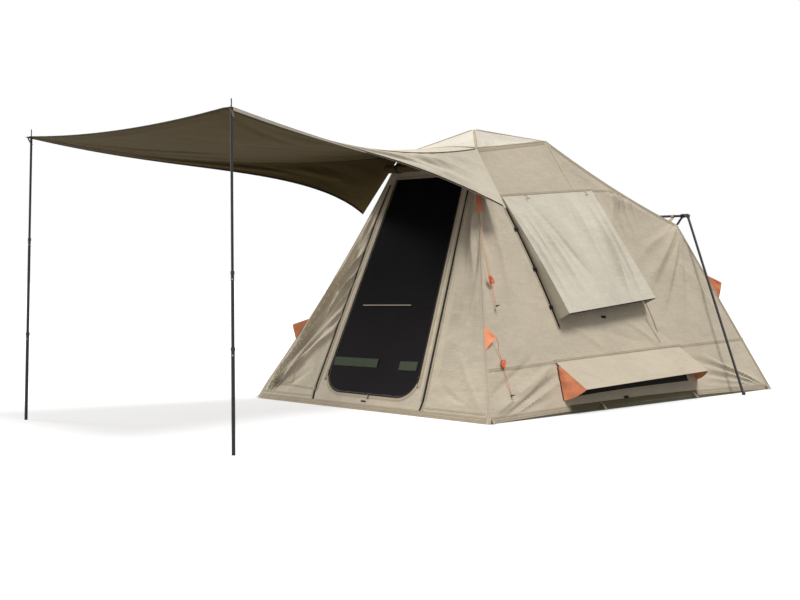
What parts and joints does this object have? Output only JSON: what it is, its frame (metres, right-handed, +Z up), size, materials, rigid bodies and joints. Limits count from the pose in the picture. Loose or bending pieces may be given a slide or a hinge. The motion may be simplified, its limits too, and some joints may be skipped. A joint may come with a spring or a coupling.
{
  "type": "ridge-top cabin tent with awning",
  "caption": "Pitched canvas cabin tent with a sloping rear, hooded side windows and floor vents, a mesh door, a rolled-up door and an awning on telescoping poles.",
  "frame": {"origin": "on the ground at the centre of the floor sheet", "axes": "+Z up, -Y towards the doorway and awning, +X towards the right-hand side wall seen from in front"},
  "size_m": [2.83, 5.9225, 2.225],
  "materials": {
    "awning_canvas": "matt woven canvas, dark underside",
    "black_plastic": "moulded, matt",
    "black_tube": "semi-gloss black coated steel",
    "black_webbing": "woven tape",
    "canvas": "matt woven canvas",
    "floor_sheet": "coated groundsheet",
    "leg_tube": "semi-gloss dark grey coated steel",
    "netting": "fine dark insect netting",
    "orange_cloth": "matt bright cloth",
    "orange_plastic": "moulded, satin",
    "orange_rope": "braided cord",
    "roof_canvas": "matt woven canvas, paler",
    "webbing": "woven tape"
  },
  "bodies": {
    "tent": {"awning": "awning_canvas", "door_tie_left": "black_webbing", "door_tie_right": "black_webbing", "floor": "floor_sheet", "frame_hub": "black_plastic", "frame_leg_front_left": "leg_tube", "frame_leg_front_right": "leg_tube", "frame_leg_rear_left": "leg_tube", "frame_leg_rear_right": "leg_tube", "frame_rafter_front_left": "black_tube", "frame_rafter_front_right": "black_tube", "frame_rafter_rear_left": "black_tube", "frame_rafter_rear_right": "black_tube", "guy_rope_lower": "orange_rope", "guy_rope_upper": "orange_rope", "pole_upper_left": "black_tube", "pole_upper_right": "black_tube", "rear_crossbar": "black_tube", "rear_knuckle_left": "black_plastic", "rear_knuckle_right": "black_plastic", "rear_strap_left": "black_webbing", "rear_strap_right": "black_webbing", "rear_web_left": "webbing", "rear_web_right": "webbing", "reflector_front_left": "orange_cloth", "reflector_front_right": "orange_cloth", "reflector_rear_left": "orange_cloth", "reflector_rear_right": "orange_cloth", "rolled_door": "canvas", "roof_rear": "roof_canvas", "roof_top": "roof_canvas", "vent_gusset_front_left": "orange_cloth", "vent_gusset_front_right": "orange_cloth", "vent_gusset_rear_left": "orange_cloth", "vent_gusset_rear_right": "orange_cloth", "vent_mesh_left": "netting", "vent_mesh_right": "netting", "wall_front": "canvas", "wall_left": "canvas", "wall_rear": "canvas", "wall_right": "canvas", "window_gusset_front_left": "canvas", "window_gusset_front_right": "canvas", "window_gusset_rear_left": "canvas", "window_gusset_rear_right": "canvas", "window_mesh_left": "netting", "window_mesh_right": "netting"},
    "mesh_door": {"mesh_door": "netting"},
    "pole_lower_left": {"pole_lower_left": "black_tube"},
    "pole_lower_right": {"pole_lower_right": "black_tube"},
    "pole_middle_left": {"pole_middle_left": "black_tube"},
    "pole_middle_right": {"pole_middle_right": "black_tube"},
    "rear_leg_left": {"rear_leg_left": "leg_tube"},
    "rear_leg_right": {"rear_leg_right": "leg_tube"},
    "rope_runner_lower": {"rope_runner_lower": "orange_plastic"},
    "rope_runner_upper": {"rope_runner_upper": "orange_plastic"},
    "vent_flap_left": {"vent_flap_left": "canvas"},
    "vent_flap_right": {"vent_flap_right": "canvas"},
    "window_flap_left": {"window_flap_left": "canvas"},
    "window_flap_right": {"window_flap_right": "canvas"}
  },
  "joints": [
    {"name": "pole_middle_slide_left", "type": "slide", "parent": "tent", "child": "pole_middle_left", "axis": [0.025, 0.015, 0.9996], "range_m": [0, 0.55]},
    {"name": "pole_lower_slide_left", "type": "slide", "parent": "pole_middle_left", "child": "pole_lower_left", "axis": [0.025, 0.015, 0.9996], "range_m": [0, 0.37]},
    {"name": "rear_leg_hinge_left", "type": "hinge", "parent": "tent", "child": "rear_leg_left", "pos_m": [-0.70004, 1.44, 1.55], "axis": [0, 0.9914, -0.1311], "range_deg": [0, 65]},
    {"name": "window_flap_hinge_left", "type": "hinge", "parent": "tent", "child": "window_flap_left", "pos_m": [-0.58408, -0.956, 1.63024], "axis": [0.0351, 0.996, 0.0816], "range_deg": [-6.4, 0]},
    {"name": "vent_flap_hinge_left", "type": "hinge", "parent": "tent", "child": "vent_flap_left", "pos_m": [-1.12546, -0.96, 0.37224], "axis": [0.0119, 0.9995, 0.0277], "range_deg": [-31, 0]},
    {"name": "pole_middle_slide_right", "type": "slide", "parent": "tent", "child": "pole_middle_right", "axis": [-0.025, 0.015, 0.9996], "range_m": [0, 0.68]},
    {"name": "pole_lower_slide_right", "type": "slide", "parent": "pole_middle_right", "child": "pole_lower_right", "axis": [-0.025, 0.015, 0.9996], "range_m": [0, 0.24]},
    {"name": "rear_leg_hinge_right", "type": "hinge", "parent": "tent", "child": "rear_leg_right", "pos_m": [0.70004, 1.44, 1.55], "axis": [0, -0.9914, 0.1311], "range_deg": [0, 65]},
    {"name": "window_flap_hinge_right", "type": "hinge", "parent": "tent", "child": "window_flap_right", "pos_m": [0.58408, -0.956, 1.63024], "axis": [0.0351, -0.996, -0.0816], "range_deg": [-6.4, 0]},
    {"name": "vent_flap_hinge_right", "type": "hinge", "parent": "tent", "child": "vent_flap_right", "pos_m": [1.12546, -0.96, 0.37224], "axis": [0.0119, -0.9995, -0.0277], "range_deg": [-31, 0]},
    {"name": "mesh_door_hinge", "type": "hinge", "parent": "tent", "child": "mesh_door", "pos_m": [0, -1.15579, 1.79972], "axis": [-1, 0, 0], "range_deg": [0, 60]},
    {"name": "rope_runner_slide_upper", "type": "slide", "parent": "tent", "child": "rope_runner_upper", "axis": [0.4143, -0.1572, -0.8965], "range_m": [0, 0.15]},
    {"name": "rope_runner_slide_lower", "type": "slide", "parent": "tent", "child": "rope_runner_lower", "axis": [0.3949, -0.0459, -0.9176], "range_m": [0, 0.15]}
  ]
}
